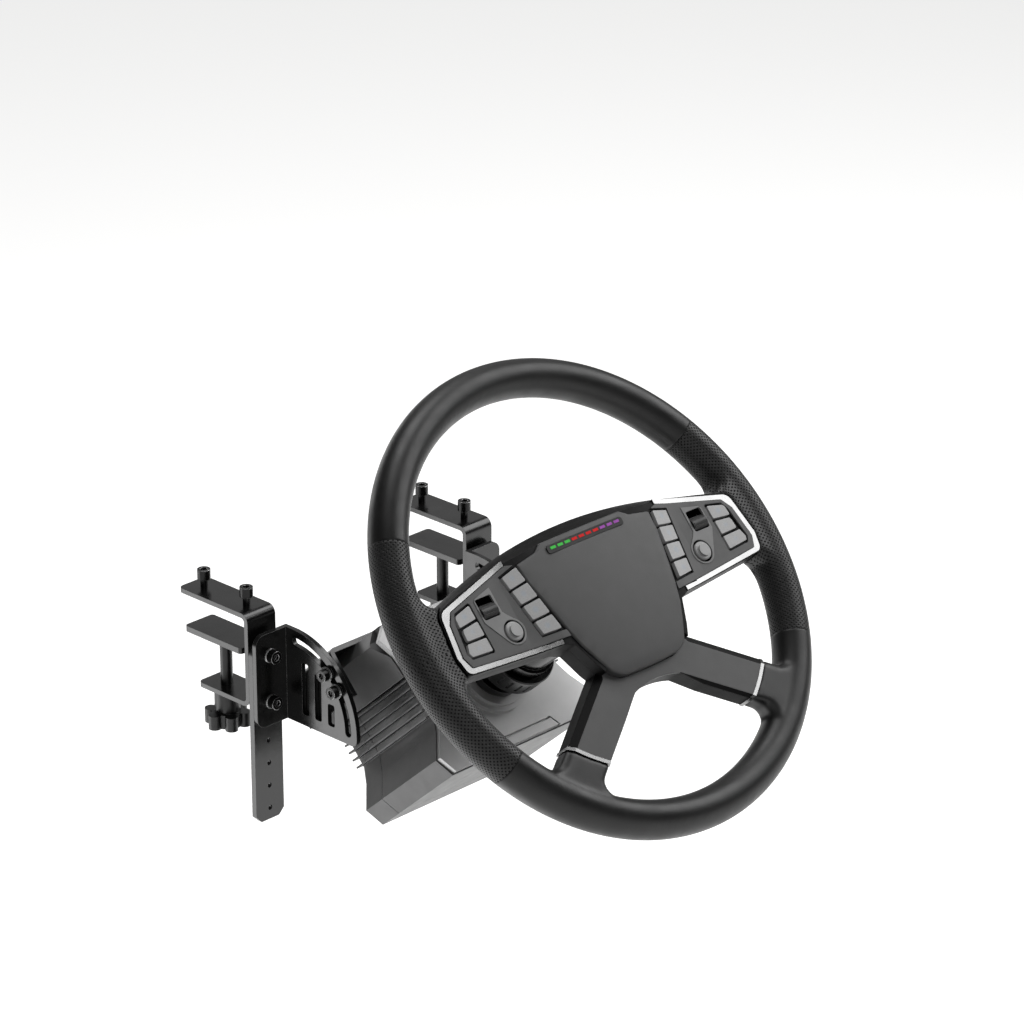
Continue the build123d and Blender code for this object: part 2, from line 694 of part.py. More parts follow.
def cradle():
    top = BASE_TOP + SEAT + CRADLE_THICK
    outer = block(-CRADLE_OUTER, CRADLE_OUTER, 31, top, CRADLE_BACK, CRADLE_FRONT)
    inner_x = CRADLE_OUTER - CRADLE_THICK
    inner = block(-inner_x, inner_x, 30, top - CRADLE_THICK, CRADLE_BACK - 1, CRADLE_FRONT + 1)
    bend = outer.edges().filter_by(Axis.Z).group_by(Axis.Y)[-1]
    bracket = fillet(bend, 5.0) - inner
    for side in SIDES:
        for z, y in TILT_BOLTS:
            bracket -= Pos(side * CRADLE_OUTER, y, z) * sideways(rod(3.0, -8, 8))
    for x, z in BASE_SCREWS:
        bracket -= Pos(x, top, z) * (Rot(-90, 0, 0) * sunk_screw(3.0, 8.0, SEAT))
    return bracket


def sunk_screw(shank, length, grow=0.0):
    """Countersunk screw with its head's flat top at z=0; grow makes the hole for it."""
    head = Pos(0, 0, -SINK_DEPTH) * Cone(shank + grow, SINK_HEAD + grow, SINK_DEPTH, align=BASE_UP)
    return head + rod(shank + grow, -length, 0.01 - SINK_DEPTH)


def base_screws():
    screw = sunk_screw(3.0, 12.5) - hex_recess(4.0, -2.2, 1)
    top = BASE_TOP + SEAT + CRADLE_THICK - 0.1
    return Compound([Pos(x, top, z) * (Rot(-90, 0, 0) * screw) for x, z in BASE_SCREWS])


def tilt_bolts():
    bolt = socket_screw(3.0 - 0.02, 11.0, 5.0, 6.0, 5.0, flange=6.2, flange_height=2.2)
    seat = FAN_OUTER + 0.3
    solids = []
    for z, y in TILT_BOLTS:
        solids.append(Pos(seat, y, z) * sideways(bolt))
        solids.append(mirrored(solids[-1]))
    return Compound(solids)


# ---------- desk clamps, bars and quadrant brackets (world frame, right-hand side) ----------

def clamp_bracket():
    half = CLAMP_WIDTH / 2
    bottom = JAW_TOP - PLATE
    profile = Polyline(
        (-PLATE, PLATE), (TOP_REACH, PLATE), (TOP_REACH, 0), (0, 0),
        (0, JAW_TOP), (JAW_REACH, JAW_TOP), (JAW_REACH, bottom), (-PLATE, bottom), close=True)
    face = make_face(profile)
    bends = [v for v in face.vertices() if v.X < -PLATE + 0.1]
    face = fillet(bends, BEND + PLATE)
    inside = [v for v in face.vertices() if abs(v.X) < 0.1 and v.Y < PLATE - 0.1]
    face = fillet(inside, BEND)
    body = extrude(Plane.YZ * face, CLAMP_WIDTH, dir=(1, 0, 0))
    body = Pos(CLAMP_X - half, 0, 0) * body
    ends = [e for e in body.edges().filter_by(Axis.Z) if e.center().Y > JAW_REACH - 1]
    body = fillet(ends, 5.0)
    for y in TOP_SCREW_Y:
        body -= rod(3.0, -1, PLATE + 1, x=CLAMP_X, y=y)
    body -= rod(SPINDLE_RADIUS + 0.05, bottom - 1, JAW_TOP + 1, x=CLAMP_X, y=SPINDLE_Y)
    return body - flange_holes()


def flange_holes():
    """Shared bore of the two bolts that pass through flange, bar and clamp web."""
    holes = [Pos(CLAMP_X, -20, z) * across(rod(3.0, 0, 20)) for z in FLANGE_BOLTS_Z]
    return holes[0] + holes[1]


def support_bar():
    half = CLAMP_WIDTH / 2
    face = outline(
        (CLAMP_X - half, BAR_TOP), (CLAMP_X + half, BAR_TOP),
        (CLAMP_X + half, BAR_BOTTOM), (CLAMP_X - half, BAR_BOTTOM))
    upper = face.vertices().group_by(Axis.Y)[-1]
    face = fillet(upper, 12)
    lower = face.vertices().group_by(Axis.Y)[0]
    face = chamfer(lower, 5.5)
    slab = extrude(Plane.XZ * face, BAR_THICK, dir=(0, -1, 0))
    slab = Pos(0, -PLATE - 0.02, 0) * slab
    for z in BAR_HOLES_Z:
        slab -= Pos(CLAMP_X, -20, z) * across(rod(2.1, 0, 20))
    return slab - flange_holes()


def arc_slot():
    """Curved slot in the fan, drawn as (distance forward, height)."""
    centre = (-ARC_CENTRE[0], ARC_CENTRE[1])
    middle = CenterArc(centre, ARC_RADIUS, ARC_FROM, ARC_TO - ARC_FROM)
    return SlotArc(middle, 2 * SLOT_HALF)


def fan_outline():
    cx, cz = -ARC_CENTRE[0], ARC_CENTRE[1]
    front = cx + sqrt(FAN_RADIUS ** 2 - (FAN_BOTTOM - cz) ** 2)
    back = PLATE + BAR_THICK + 0.1
    diagonal = FAN_RADIUS * cos(radians(45))
    edges = Polyline((cx, FAN_TOP), (back, FAN_TOP), (back, FAN_BOTTOM), (front, FAN_BOTTOM))
    edges += ThreePointArc((front, FAN_BOTTOM), (cx + diagonal, cz + diagonal), (cx, FAN_TOP))
    face = make_face(edges)
    tip = face.vertices().sort_by(Axis.X)[-1]
    return fillet([tip], 6.0)


def quadrant_plate():
    face = fan_outline() - arc_slot()
    for forward, top in FAN_SLOTS:
        middle = (top + FAN_SLOT_BOTTOM) / 2
        face -= Pos(forward, middle) * RectangleRounded(7.6, top - FAN_SLOT_BOTTOM, 2.0)
    fan = Pos(FAN_OUTER - PLATE, 0, 0) * extrude(forward_plane() * face, PLATE, dir=(1, 0, 0))
    outer_x = CLAMP_X + CLAMP_WIDTH / 2
    flange = outline(
        (FAN_OUTER - PLATE, FAN_TOP), (outer_x, FAN_TOP), (outer_x, FAN_BOTTOM), (FAN_OUTER - PLATE, FAN_BOTTOM))
    corners = flange.vertices().group_by(Axis.X)[-1]
    flange = fillet(corners, 9)
    flange = Pos(0, BACK_BAR - 0.1, 0) * extrude(Plane.XZ * flange, PLATE, dir=(0, -1, 0))
    return fan + flange - flange_holes()


def forward_plane():
    """Plane whose local x runs toward the driver and local y runs up."""
    return Plane(origin=(0, 0, 0), x_dir=(0, -1, 0), z_dir=(-1, 0, 0))


def mount_screws():
    top = socket_screw(3.0, 11.0, 5.4, 8.4, 5.5)
    solids = [Pos(CLAMP_X, y, PLATE + 7) * top for y in TOP_SCREW_Y]
    bolt = socket_screw(3.0 - 0.02, 12.5, 5.4, 6.4, 5.0, flange=6.2, flange_height=1.2)
    face_y = BACK_BAR - 0.1 - PLATE
    solids += [Pos(CLAMP_X, face_y, z) * (Rot(90, 0, 0) * bolt) for z in FLANGE_BOLTS_Z]
    solids += [mirrored(solid) for solid in solids]
    return Compound(solids)


def clamp_pressure_plate():
    low = PRESSURE_TOP - 5.0
    plate = Pos(CLAMP_X, 38, low) * Box(CLAMP_WIDTH, 66, 5.0, align=BASE_UP)
    plate = fillet(plate.edges().filter_by(Axis.Z), 3.0)
    return plate - rod(SPINDLE_RADIUS + 0.05, low - 1, low + 3.0, x=CLAMP_X, y=SPINDLE_Y)


def clamp_screw():
    """Threaded spindle with its star knob moulded on."""
    spindle = rod(SPINDLE_RADIUS, KNOB_BOTTOM + 5, PRESSURE_TOP - 2.3)
    neck = rod(10.5, KNOB_TOP - 0.1, JAW_TOP - PLATE - 0.6)
    star = rod(12.8, KNOB_BOTTOM, KNOB_TOP)
    for n in range(KNOB_LOBES):
        star += Rot(0, 0, n * 360 / KNOB_LOBES) * rod(5.2, KNOB_BOTTOM, KNOB_TOP, x=14.0)
    return Pos(CLAMP_X, SPINDLE_Y, 0) * (spindle + neck + star)


# ---------- write every node ----------

def write(name, shape):
    export_step(shape, f"parts/{name}.step")


def on_wheel(shape):
    return wheel_frame * shape


def main():
    for side, word in zip(SIDES, ("left", "right")):
        place = mirrored if side < 0 else (lambda shape: shape)
        write(f"clamp_bracket_{word}", place(clamp_bracket()))
        write(f"clamp_pressure_plate_{word}", place(clamp_pressure_plate()))
        write(f"clamp_screw_{word}", place(clamp_screw()))
        write(f"support_bar_{word}", place(support_bar()))
        write(f"quadrant_plate_{word}", place(quadrant_plate()))
        write(f"wing_panel_{word}", on_wheel(place(wing_panel())))
        write(f"control_roller_{word}", on_wheel(place(roller())))
        write(f"control_knob_{word}", on_wheel(place(knob())))
        for name in button_faces():
            write(f"button_{word}_{name}", on_wheel(place(button(name))))
    write("mount_screws", mount_screws())
    singles = {
        "rim_core": rim_core, "rim_grip_smooth_top": rim_grip_smooth_top,
        "rim_grip_smooth_bottom": rim_grip_smooth_bottom, "rim_grips_perforated": rim_grips_perforated,
        "hub_front_shell": hub_front_shell, "hub_rear_shell": hub_rear_shell, "spoke_face": spoke_face,
        "silver_trims": silver_trims, "centre_pad": centre_pad, "light_bar_lens": light_bar_lens,
        "light_segments": light_segments, "chrome_trims": chrome_trims, "button_board": button_board,
        "wheel_adapter": wheel_adapter, "release_barrel": release_barrel, "release_collar": release_collar,
        "motor_rotor": motor_rotor, "motor_stator": motor_stator, "shaft_bearings": shaft_bearings,
        "base_housing": base_housing, "base_front_plate": base_front_plate, "base_flap": base_flap,
        "base_rear_cover": base_rear_cover, "base_sockets": base_sockets, "control_board": control_board,
        "cradle": cradle, "base_screws": base_screws, "tilt_bolts": tilt_bolts,
    }
    for name, make in singles.items():
        write(name, on_wheel(make()))
    write("control_inserts", on_wheel(both(control_insert())))


main()
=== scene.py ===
import json
import math

import bmesh
import bpy
from mathutils import Matrix, Vector

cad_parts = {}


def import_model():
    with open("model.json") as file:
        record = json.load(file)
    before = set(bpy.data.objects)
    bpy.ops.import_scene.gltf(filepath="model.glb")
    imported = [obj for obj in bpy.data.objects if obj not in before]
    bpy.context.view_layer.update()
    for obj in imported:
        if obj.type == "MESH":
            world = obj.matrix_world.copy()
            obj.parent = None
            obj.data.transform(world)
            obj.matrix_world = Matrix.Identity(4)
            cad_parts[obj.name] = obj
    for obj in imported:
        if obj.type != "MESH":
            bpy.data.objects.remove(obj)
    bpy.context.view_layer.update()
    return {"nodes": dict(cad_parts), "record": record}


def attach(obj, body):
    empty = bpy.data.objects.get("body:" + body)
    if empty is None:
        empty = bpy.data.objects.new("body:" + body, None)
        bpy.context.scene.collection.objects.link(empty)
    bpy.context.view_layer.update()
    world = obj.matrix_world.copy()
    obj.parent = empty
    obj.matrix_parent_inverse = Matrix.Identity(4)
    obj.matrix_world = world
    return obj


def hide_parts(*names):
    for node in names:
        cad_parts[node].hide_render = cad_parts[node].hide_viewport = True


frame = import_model()
nodes = frame["nodes"]

# Driving dimensions. Lengths in millimetres are turned into metres with MM.
MM = 0.001
AXIS_RISE = math.radians(42.0)  # of the wheel's axis above level
WHEEL_CENTRE = Vector((0, -0.250, 0.055))  # in metres, middle of the rim
RIM_RADIUS = 184.7  # to the middle of the tube
TUBE_RADIAL = 15.3  # half the tube's width across the ring
TUBE_AXIAL = 17.0  # half the tube's depth along the axis
SEAM_ANGLE = math.radians(30)  # of the leather seams from level, four times round
SHARP_EDGE = math.radians(28)  # edges that bend more than this stay crisp

PERFORATION_PITCH = 3.6  # along and across the rows
HOLE_RADIUS = 0.72
HOLE_BLUR = 0.15  # either side of the hole's edge
WEB_START = 0.5  # a point this far inside the tube's inner side is on a web
WEB_BACK = -4.0  # on the webs, holes lie only above this place along the axis
WEB_SQUEEZE = 0.6  # rows counted per pitch on the webs, against one on the tube

LAMP_SPLIT = 15.6  # red lamps lie within this distance of the middle

LENS = 149.5  # camera's focal length on a 36 mm sensor
SENSOR = 36
CAMERA_PLACE = Vector((-2.1802, -2.2784, 1.3829))
CAMERA_AIM = Vector((-0.0271, -0.1874, 0.1135))
FLOOR_SIZE = 30.0  # in metres
FLOOR_HEIGHT = -0.62
WORLD_LEVEL = 0.10

AXIS = Vector((0, -math.cos(AXIS_RISE), math.sin(AXIS_RISE)))  # toward the driver
UP = Vector((0, math.sin(AXIS_RISE), math.cos(AXIS_RISE)))  # up the wheel's face


# ---------- node helpers ----------

class Maker:
    """Adds shader nodes to one material and links them."""

    def __init__(self, name):
        self.mat = bpy.data.materials.new(name)
        self.mat.use_nodes = True
        self.tree = self.mat.node_tree
        self.bsdf = self.tree.nodes["Principled BSDF"]

    def node(self, kind, **values):
        made = self.tree.nodes.new(kind)
        for key, value in values.items():
            setattr(made, key, value)
        return made

    def link(self, source, target):
        self.tree.links.new(source, target)

    def set(self, **values):
        """Constants on the shader's sockets, with underscores for the spaces in their names."""
        for key, value in values.items():
            self.bsdf.inputs[key.replace("_", " ")].default_value = value

    def math(self, operation, a, b=0.0):
        """One math node; a and b are numbers or sockets."""
        made = self.node("ShaderNodeMath", operation=operation)
        for socket, value in zip(made.inputs, (a, b)):
            if isinstance(value, (int, float)):
                socket.default_value = value
            else:
                self.link(value, socket)
        return made.outputs[0]

    def coords(self):
        return self.node("ShaderNodeTexCoord").outputs["Object"]

    def noise(self, scale, detail=3.0, rough=0.5):
        made = self.node("ShaderNodeTexNoise")
        made.inputs["Scale"].default_value = scale
        made.inputs["Detail"].default_value = detail
        made.inputs["Roughness"].default_value = rough
        self.link(self.coords(), made.inputs["Vector"])
        return made.outputs["Fac"]

    def cells(self, scale):
        """Distance to the middle of the nearest cell, with soft borders between cells."""
        made = self.node("ShaderNodeTexVoronoi", feature="SMOOTH_F1")
        made.inputs["Scale"].default_value = scale
        self.link(self.coords(), made.inputs["Vector"])
        return made.outputs["Distance"]

    def spread(self, value, low, high, from_low=0.3, from_high=0.7):
        """The value's range from_low to from_high stretched over low to high, and held beyond."""
        made = self.node("ShaderNodeMapRange")
        self.link(value, made.inputs["Value"])
        made.inputs["From Min"].default_value = from_low
        made.inputs["From Max"].default_value = from_high
        made.inputs["To Min"].default_value = low
        made.inputs["To Max"].default_value = high
        return made.outputs["Result"]

    def mix(self, factor, dark, light):
        """Colour between dark and light; each of the three is a constant or a socket."""
        made = self.node("ShaderNodeMix", data_type="RGBA")
        sockets = (made.inputs[0], made.inputs[6], made.inputs[7])  # factor and the two colours
        for socket, value in zip(sockets, (factor, dark, light)):
            if isinstance(value, (tuple, list)):
                socket.default_value = (*value, 1.0)
            elif isinstance(value, (int, float)):
                socket.default_value = value
            else:
                self.link(value, socket)
        return made.outputs[2]

    def bump(self, height, distance, strength=1.0, below=None):
        """Normal of a relief of this height, laid over the normal below it."""
        made = self.node("ShaderNodeBump")
        made.inputs["Strength"].default_value = strength
        made.inputs["Distance"].default_value = distance
        self.link(height, made.inputs["Height"])
        if below is not None:
            self.link(below, made.inputs["Normal"])
        return made.outputs["Normal"]

    def soft_edge(self, radius):
        """Normal that rounds sharp edges over this radius."""
        made = self.node("ShaderNodeBevel", samples=4)
        made.inputs["Radius"].default_value = radius
        return made.outputs["Normal"]

    def edge_mask(self, radius):
        """1 along sharp edges, 0 on flats."""
        geometry = self.node("ShaderNodeNewGeometry")
        dot = self.node("ShaderNodeVectorMath", operation="DOT_PRODUCT")
        self.link(self.soft_edge(radius), dot.inputs[0])
        self.link(geometry.outputs["Normal"], dot.inputs[1])
        return self.spread(dot.outputs["Value"], 1.0, 0.0, 0.80, 0.995)

    def finish(self, color, rough, normal=None):
        self.link(color, self.bsdf.inputs["Base Color"])
        self.link(rough, self.bsdf.inputs["Roughness"])
        if normal is not None:
            self.link(normal, self.bsdf.inputs["Normal"])
        return self.mat


def shade(level):
    """Linear value of a grey given as it looks on screen, 0 to 1."""
    return level ** 2.2


def grey(level, warmth=0.0):
    """Linear colour of a grey, with more red and less blue as warmth rises."""
    value = shade(level)
    return (value * (1 + warmth), value, value * (1 - warmth))


# ---------- materials ----------

def surface(name, dark, light, rough, grain, grain_depth, edge=None, metallic=0.0, radius=0.4, **sockets):
    """Moulded or coated surface: mottled colour, uneven gloss, fine grain, softened edges, and sharp edges
    painted in patches in the edge colour as a painted highlight.
    """
    m = Maker(name)
    m.set(Metallic=metallic, **sockets)
    cloudy = m.noise(35.0, 4.0, 0.6)
    color = m.mix(m.spread(cloudy, 0.0, 1.0), dark, light)
    # Edge colour painted in patches along sharp edges: a painted highlight where it is lighter than the
    # surface, a painted shade where it is darker.
    if edge is not None:
        painted_edge_highlight = m.math("MULTIPLY", m.edge_mask(radius * MM), m.spread(m.noise(220.0, 3.0), 0.25, 1.0))
        color = m.mix(painted_edge_highlight, color, edge)
    roughness = m.spread(m.noise(90.0, 5.0, 0.65), rough[0], rough[1])
    normal = m.bump(m.noise(grain, 3.0, 0.6), grain_depth * MM, 1.0, m.soft_edge(radius * MM))
    return m.finish(color, roughness, normal)


def leather(name, level, perforated):
    """Leather of a given grey: soft cell grain with creases, and holes right through if perforated,
    painted black as painted shade in their hollows.
    """
    m = Maker(name)
    m.set(Specular_IOR_Level=0.45)
    cloudy = m.noise(28.0, 4.0, 0.6)
    color = m.mix(m.spread(cloudy, 0.0, 1.0), grey(level, 0.01), grey(level + 0.025, 0.01))
    rough = m.spread(m.noise(70.0, 4.0), 0.38, 0.48)
    grain = m.cells(1500.0)
    creases = m.noise(600.0, 4.0, 0.6)
    height = m.math("ADD", m.math("MULTIPLY", grain, 0.7), m.math("MULTIPLY", creases, 0.5))
    normal = m.bump(height, 0.08 * MM, 0.6)
    if perforated:
        hole = perforation(m)
        # Holes painted black: painted shade in their hollows.
        color = m.mix(hole, color, (0, 0, 0))
        rough = m.math("MAXIMUM", rough, hole)
        sunk = m.math("SUBTRACT", 1.0, hole)
        normal = m.bump(sunk, 0.35 * MM, 1.0, normal)
    return m.finish(color, rough, normal)


def wheel_coords(m):
    """Object coordinates turned into the wheel's own frame, in millimetres, as x, y, z sockets."""
    move = m.node("ShaderNodeVectorMath", operation="SUBTRACT")
    m.link(m.coords(), move.inputs[0])
    move.inputs[1].default_value = WHEEL_CENTRE
    outputs = []
    for axis in (Vector((1, 0, 0)), UP, AXIS):
        dot = m.node("ShaderNodeVectorMath", operation="DOT_PRODUCT")
        m.link(move.outputs[0], dot.inputs[0])
        dot.inputs[1].default_value = axis / MM
        outputs.append(dot.outputs["Value"])
    return outputs


def perforation(m):
    """1 inside small holes in staggered rows round the rim, 0 elsewhere and behind the webs."""
    x, y, z = wheel_coords(m)
    angle = m.math("ARCTAN2", y, x)
    radius = m.math("SQRT", m.math("ADD", m.math("MULTIPLY", x, x), m.math("MULTIPLY", y, y)))
    along = m.math("MULTIPLY", angle, RIM_RADIUS / PERFORATION_PITCH)
    outward = m.math("SUBTRACT", radius, RIM_RADIUS)
    turn = m.math("ARCTAN2", m.math("ABSOLUTE", z), outward)
    wrapped = m.math("MULTIPLY", turn, (TUBE_RADIAL + TUBE_AXIAL) / 2)
    beyond = m.math("MAXIMUM", m.math("SUBTRACT", -TUBE_RADIAL, outward), 0.0)
    inward_rows = m.math("MULTIPLY", beyond, WEB_SQUEEZE)
    across = m.math("DIVIDE", m.math("ADD", wrapped, inward_rows), PERFORATION_PITCH)
    holes = m.math("MAXIMUM", hole_grid(m, along, across, 0.0), hole_grid(m, along, across, 0.5))
    front = m.math("GREATER_THAN", z, WEB_BACK)
    on_tube = m.math("LESS_THAN", beyond, WEB_START)
    return m.math("MULTIPLY", holes, m.math("MAXIMUM", front, on_tube))


def hole_grid(m, along, across, shift):
    """1 inside a round hole in every cell of a square grid, moved by a share of the pitch both ways."""
    du = m.math("SUBTRACT", m.math("FRACT", m.math("ADD", along, shift)), 0.5)
    dv = m.math("SUBTRACT", m.math("FRACT", m.math("ADD", across, shift)), 0.5)
    distance = m.math("SQRT", m.math("ADD", m.math("MULTIPLY", du, du), m.math("MULTIPLY", dv, dv)))
    inner = (HOLE_RADIUS - HOLE_BLUR) / PERFORATION_PITCH
    outer = (HOLE_RADIUS + HOLE_BLUR) / PERFORATION_PITCH
    return m.spread(distance, 1.0, 0.0, inner, outer)


def lit_button(name):
    """Satin grey key with a faint blue mark lit behind its middle, a paler edge that is a painted
    highlight, and a faint glow over the whole key that is painted light.
    """
    m = Maker(name)
    m.set(Specular_IOR_Level=0.35)
    generated = m.node("ShaderNodeTexCoord").outputs["Generated"]
    offset = m.node("ShaderNodeVectorMath", operation="DISTANCE")
    m.link(generated, offset.inputs[0])
    offset.inputs[1].default_value = (0.5, 0.5, 0.5)
    glow = m.spread(offset.outputs["Value"], 1.0, 0.0, 0.08, 0.34)
    base = m.mix(m.spread(m.noise(900.0, 3.0), 0.0, 1.0), grey(0.64), grey(0.68))
    color = m.mix(m.math("MULTIPLY", glow, 0.65), base, (0.16, 0.36, 0.60))
    # Paler edge: painted highlight.
    color = m.mix(m.edge_mask(0.5 * MM), color, grey(0.80))
    # The whole key, grey and pale edge too, glows faintly: painted light.
    m.link(color, m.bsdf.inputs["Emission Color"])
    m.bsdf.inputs["Emission Strength"].default_value = 0.05
    rough = m.spread(m.noise(120.0, 3.0), 0.38, 0.5)
    normal = m.bump(m.noise(1800.0, 2.0), 0.03 * MM, 0.6, m.soft_edge(0.6 * MM))
    return m.finish(color, rough, normal)


def light_strip(name):
    """Ten small lamps: three green, four red, three violet, split by their place across the wheel."""
    m = Maker(name)
    m.set(Specular_IOR_Level=0.1)
    x, _, _ = wheel_coords(m)
    red = m.math("GREATER_THAN", x, -LAMP_SPLIT)
    violet = m.math("GREATER_THAN", x, LAMP_SPLIT)
    color = m.mix(red, (0.05, 0.42, 0.06), (0.50, 0.01, 0.01))
    color = m.mix(violet, color, (0.27, 0.07, 0.33))
    evenness = m.spread(m.noise(700.0, 2.0), 0.8, 1.0)
    color = m.mix(evenness, (0.02, 0.02, 0.02), color)
    m.link(color, m.bsdf.inputs["Emission Color"])
    m.bsdf.inputs["Emission Strength"].default_value = 0.5
    return m.finish(color, m.spread(m.noise(300.0, 2.0), 0.5, 0.6))


# Each surface: darkest and lightest colour, roughness range, grain scale, grain depth in millimetres,
# edge colour (painted along sharp edges: a painted highlight where lighter, a painted shade where darker).
materials = {
    # Light grey edges on near-black steel: painted highlights.
    "black_steel": surface("black_steel", grey(0.06), grey(0.09), (0.16, 0.26), 900, 0.02, grey(0.55),
                           radius=0.45, Specular_IOR_Level=0.65),
    # White edges: painted highlight rings on the screw heads.
    "dark_screws": surface("dark_screws", grey(0.10), grey(0.14), (0.18, 0.30), 1200, 0.02, grey(1.0),
                           metallic=0.5, radius=0.9),
    "base_metal": surface("base_metal", grey(0.36), grey(0.39), (0.38, 0.48), 1500, 0.04, grey(0.58),
                          metallic=0.3, radius=0.5),
    # The base's front plate is the base metal painted much lighter: painted light on the faces turned to
    # the lamps.
    "painted_lit_front_metal": surface("painted_lit_front_metal", grey(0.66), grey(0.70), (0.32, 0.42), 1500, 0.03, grey(0.60),
                           metallic=0.5, radius=0.5),
    "machined_metal": surface("machined_metal", grey(0.05), grey(0.08), (0.18, 0.28), 1400, 0.015,
                              grey(0.35), metallic=0.3, radius=0.5),
    "magnet_steel": surface("magnet_steel", grey(0.45), grey(0.55), (0.3, 0.45), 800, 0.02, metallic=0.9),
    "circuit_board": surface("circuit_board", (0.01, 0.06, 0.02), (0.02, 0.10, 0.04), (0.3, 0.4),
                             700, 0.02),
    "socket_plastic": surface("socket_plastic", grey(0.10), grey(0.13), (0.4, 0.5), 1200, 0.02,
                              grey(0.3)),
    "leather_smooth": leather("leather_smooth", 0.075, False),
    "leather_perforated": leather("leather_perforated", 0.15, True),
    "gloss_black": surface("gloss_black", grey(0.03), grey(0.045), (0.46, 0.56), 1300, 0.03, grey(0.16),
                           radius=0.6, Specular_IOR_Level=0.12),
    "slate_plastic": surface("slate_plastic", grey(0.32), grey(0.34), (0.46, 0.54), 2200, 0.06, grey(0.38),
                             radius=0.5, Specular_IOR_Level=0.35),
    "pad_plastic": surface("pad_plastic", grey(0.29), grey(0.305), (0.44, 0.50), 2200, 0.06, grey(0.36),
                           radius=0.8, Specular_IOR_Level=0.35),
    # Pale edges: painted highlights on the trim.
    "bright_trim": surface("bright_trim", grey(0.55), grey(0.59), (0.22, 0.30), 1500, 0.003, grey(0.80),
                           metallic=1.0, radius=0.15),
    "button_grey": lit_button("button_grey"),
    "black_plastic": surface("black_plastic", grey(0.06), grey(0.09), (0.30, 0.42), 1500, 0.03, grey(0.28),
                             radius=0.5),
    "core_metal": surface("core_metal", grey(0.5), grey(0.6), (0.4, 0.5), 500, 0.05, metallic=0.8),
    "light_lens": surface("light_lens", grey(0.19), grey(0.21), (0.50, 0.60), 900, 0.01, grey(0.2),
                          radius=0.3, Specular_IOR_Level=0.25),
    "light_segments": light_strip("light_segments"),
    "insert_grey": surface("insert_grey", grey(0.46), grey(0.50), (0.42, 0.52), 1800, 0.02, grey(0.52),
                           radius=0.5, Specular_IOR_Level=0.35),
    "knob_silver": surface("knob_silver", grey(0.60), grey(0.66), (0.36, 0.46), 1800, 0.02, grey(0.85),
                           radius=0.45, Specular_IOR_Level=0.4),
    "roller_rubber": surface("roller_rubber", grey(0.10), grey(0.14), (0.42, 0.52), 1500, 0.03, grey(0.30),
                             radius=0.3),
}


# ---------- CAD nodes: smooth shading and materials ----------

def smoothing_group():
    """Joins split vertices, then shades smooth everywhere but over sharp edges."""
    group = bpy.data.node_groups.new("smooth_by_angle", "GeometryNodeTree")
    group.interface.new_socket("Geometry", in_out="INPUT", socket_type="NodeSocketGeometry")
    group.interface.new_socket("Geometry", in_out="OUTPUT", socket_type="NodeSocketGeometry")
    new, link = group.nodes.new, group.links.new
    start, end = new("NodeGroupInput"), new("NodeGroupOutput")
    merge = new("GeometryNodeMergeByDistance")
    merge.inputs["Distance"].default_value = 0.01 * MM
    smooth = new("GeometryNodeSetShadeSmooth")
    sharp = new("GeometryNodeSetShadeSmooth")
    sharp.domain = "EDGE"
    sharp.inputs["Shade Smooth"].default_value = False
    angle = new("GeometryNodeInputMeshEdgeAngle")
    compare = new("FunctionNodeCompare")
    compare.data_type = "FLOAT"
    compare.operation = "GREATER_THAN"
    compare.inputs[1].default_value = SHARP_EDGE
    link(start.outputs[0], merge.inputs["Geometry"])
    link(merge.outputs["Geometry"], smooth.inputs["Geometry"])
    link(smooth.outputs["Geometry"], sharp.inputs["Geometry"])
    link(angle.outputs["Unsigned Angle"], compare.inputs[0])
    link(compare.outputs[0], sharp.inputs["Selection"])
    link(sharp.outputs["Geometry"], end.inputs[0])
    return group


def dress(obj, material):
    obj.data.materials.clear()
    obj.data.materials.append(material)


# Nodes whose look differs from the rest of their material slot, by the start of their name.
shown_as = {
    "control_inserts": "insert_grey", "control_knob": "knob_silver", "control_roller": "roller_rubber",
    # The base's front plate and flap get a lighter copy of the base metal: painted light.
    "base_front_plate": "painted_lit_front_metal", "base_flap": "painted_lit_front_metal",
}
smoothing = smoothing_group()
for part in frame["record"]["subparts"]:
    name = part["node"]
    slot = part["material_slot"]
    for start, other in shown_as.items():
        if name.startswith(start):
            slot = other
    dress(nodes[name], materials[slot])
    modifier = nodes[name].modifiers.new("smooth", "NODES")
    modifier.node_group = smoothing


# ---------- leather grips ----------

GRIPS = ("rim_grip_smooth_top", "rim_grip_smooth_bottom", "rim_grips_perforated")


def applied(obj):
    """The object's mesh with its modifiers applied; the object itself is removed."""
    depsgraph = bpy.context.evaluated_depsgraph_get()
    mesh = bpy.data.meshes.new_from_object(obj.evaluated_get(depsgraph))
    bpy.data.objects.remove(obj)
    return mesh


def leather_ring(voxel=1.3, passes=22):
    """All the leather in one mesh: the CAD grips' form, with corners and joins pulled soft."""
    form = bmesh.new()
    for node in GRIPS:
        form.from_mesh(nodes[node].data)
    mesh = bpy.data.meshes.new("leather_form")
    form.to_mesh(mesh)
    form.free()
    skin = bpy.data.objects.new("leather_form", mesh)
    bpy.context.scene.collection.objects.link(skin)
    remesh = skin.modifiers.new("remesh", "REMESH")
    remesh.mode = "VOXEL"
    remesh.voxel_size = voxel * MM
    relax = skin.modifiers.new("relax", "SMOOTH")
    relax.factor = 0.5
    relax.iterations = passes
    return applied(skin)


def tube_centre(point):
    """Nearest point on the ring that runs through the middle of the tube."""
    flat = point - WHEEL_CENTRE
    flat = flat - AXIS * flat.dot(AXIS)
    return WHEEL_CENTRE + flat.normalized() * (RIM_RADIUS * MM)


